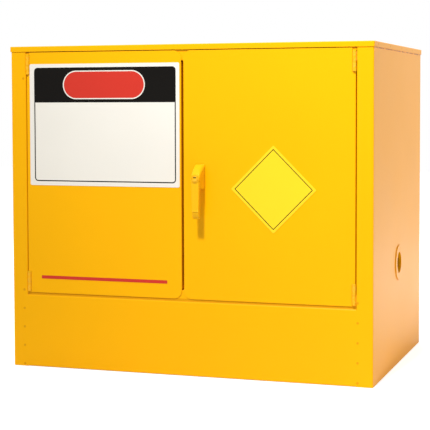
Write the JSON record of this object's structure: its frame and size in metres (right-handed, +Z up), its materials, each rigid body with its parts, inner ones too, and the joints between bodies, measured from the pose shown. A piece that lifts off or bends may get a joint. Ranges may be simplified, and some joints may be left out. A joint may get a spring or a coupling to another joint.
{
  "type": "dangerous goods storage cabinet",
  "caption": "Low double-skinned steel storage cabinet with two hinged doors, a lever handle with lock and latch rods, a sump, a shelf and side vents.",
  "frame": {"origin": "middle of the base plate's underside, on the floor", "axes": "+X to the right of someone facing the doors, +Y from the doors to the back, +Z up"},
  "size_m": [0.9206, 0.6853, 0.8],
  "materials": {
    "powder_coat": "glossy yellow polyester powder coat, fine orange peel",
    "liner_coat": "satin yellow powder coat",
    "handle_coat": "satin yellow coating on a die cast lever",
    "zinc_plate": "bright zinc plate",
    "hinge_coat": "yellow powder coat, worn at the knuckle ends",
    "hinge_steel": "plated steel, partly coated",
    "lock_steel": "bright nickel plate",
    "black_plastic": "matt black moulding",
    "brass_gauze": "woven gauze"
  },
  "bodies": {
    "carcass": {"back_liner": "liner_coat", "back_panel": "powder_coat", "base_plate": "powder_coat", "front_bearer": "zinc_plate", "header_rail": "powder_coat", "left_flame_arrestor": "brass_gauze", "left_front_shelf_clip": "zinc_plate", "left_front_upright": "zinc_plate", "left_liner": "liner_coat", "left_lower_frame_knuckle": "hinge_coat", "left_lower_hinge_pin": "hinge_steel", "left_rear_shelf_clip": "zinc_plate", "left_rear_upright": "zinc_plate", "left_side_panel": "powder_coat", "left_upper_frame_knuckle": "hinge_coat", "left_upper_hinge_pin": "hinge_steel", "left_vent_collar": "powder_coat", "left_vent_nut": "zinc_plate", "lower_magnet_catch": "black_plastic", "rear_bearer": "zinc_plate", "right_flame_arrestor": "brass_gauze", "right_front_shelf_clip": "zinc_plate", "right_front_upright": "zinc_plate", "right_liner": "liner_coat", "right_lower_frame_knuckle": "hinge_coat", "right_lower_hinge_pin": "hinge_steel", "right_rear_shelf_clip": "zinc_plate", "right_rear_upright": "zinc_plate", "right_side_panel": "powder_coat", "right_upper_frame_knuckle": "hinge_coat", "right_upper_hinge_pin": "hinge_steel", "right_vent_collar": "powder_coat", "right_vent_nut": "zinc_plate", "sill_panel": "powder_coat", "sump_tray": "liner_coat", "top_cover": "powder_coat", "top_liner": "liner_coat", "upper_magnet_catch": "black_plastic"},
    "left_door": {"left_door_skin": "powder_coat", "left_door_liner": "liner_coat", "left_upper_door_knuckle": "hinge_coat", "left_lower_door_knuckle": "hinge_coat", "upper_strike_plate": "zinc_plate", "lower_strike_plate": "zinc_plate"},
    "right_door": {"right_door_skin": "powder_coat", "right_door_liner": "liner_coat", "right_upper_door_knuckle": "hinge_coat", "right_lower_door_knuckle": "hinge_coat", "handle_bush": "lock_steel", "upper_rod_guide": "zinc_plate", "lower_rod_guide": "zinc_plate"},
    "handle": {"handle_lever": "handle_coat", "latch_spindle": "zinc_plate"},
    "lock": {"lock_cylinder": "handle_coat"},
    "upper_rod": {"upper_latch_rod": "zinc_plate"},
    "lower_rod": {"lower_latch_rod": "zinc_plate"},
    "shelf": {"shelf": "zinc_plate"},
    "left_bung": {"left_vent_bung": "liner_coat"},
    "right_bung": {"right_vent_bung": "liner_coat"}
  },
  "joints": [
    {"name": "left_door_swing", "type": "hinge", "parent": "carcass", "child": "left_door", "pos_m": [-0.413, -0.318, 0.484], "axis": [0, 0, -1], "range_deg": [0, 160]},
    {"name": "right_door_swing", "type": "hinge", "parent": "carcass", "child": "right_door", "pos_m": [0.413, -0.318, 0.484], "axis": [0, 0, 1], "range_deg": [0, 160]},
    {"name": "handle_turn", "type": "hinge", "parent": "right_door", "child": "handle", "pos_m": [0.0408, -0.318, 0.48], "axis": [0, -1, 0], "range_deg": [0, 90]},
    {"name": "lock_turn", "type": "hinge", "parent": "handle", "child": "lock", "pos_m": [0.0408, -0.36, 0.48], "axis": [0, -1, 0], "range_deg": [0, 90]},
    {"name": "upper_rod_slide", "type": "slide", "parent": "right_door", "child": "upper_rod", "axis": [0, 0, 1], "range_m": [0, 0.0184]},
    {"name": "lower_rod_slide", "type": "slide", "parent": "right_door", "child": "lower_rod", "axis": [0, 0, -1], "range_m": [0, 0.0184]},
    {"name": "shelf_lift", "type": "slide", "parent": "carcass", "child": "shelf", "axis": [0, 0, 1], "range_m": [0, 0.04]},
    {"name": "left_bung_pull", "type": "slide", "parent": "carcass", "child": "left_bung", "axis": [-1, 0, 0], "range_m": [0, 0.06]},
    {"name": "right_bung_pull", "type": "slide", "parent": "carcass", "child": "right_bung", "axis": [1, 0, 0], "range_m": [0, 0.06]}
  ],
  "couplings": [
    {"joint": "upper_rod_slide", "follows": "handle_turn", "m_per_rad": 0.0117},
    {"joint": "lower_rod_slide", "follows": "handle_turn", "m_per_rad": 0.0117}
  ]
}
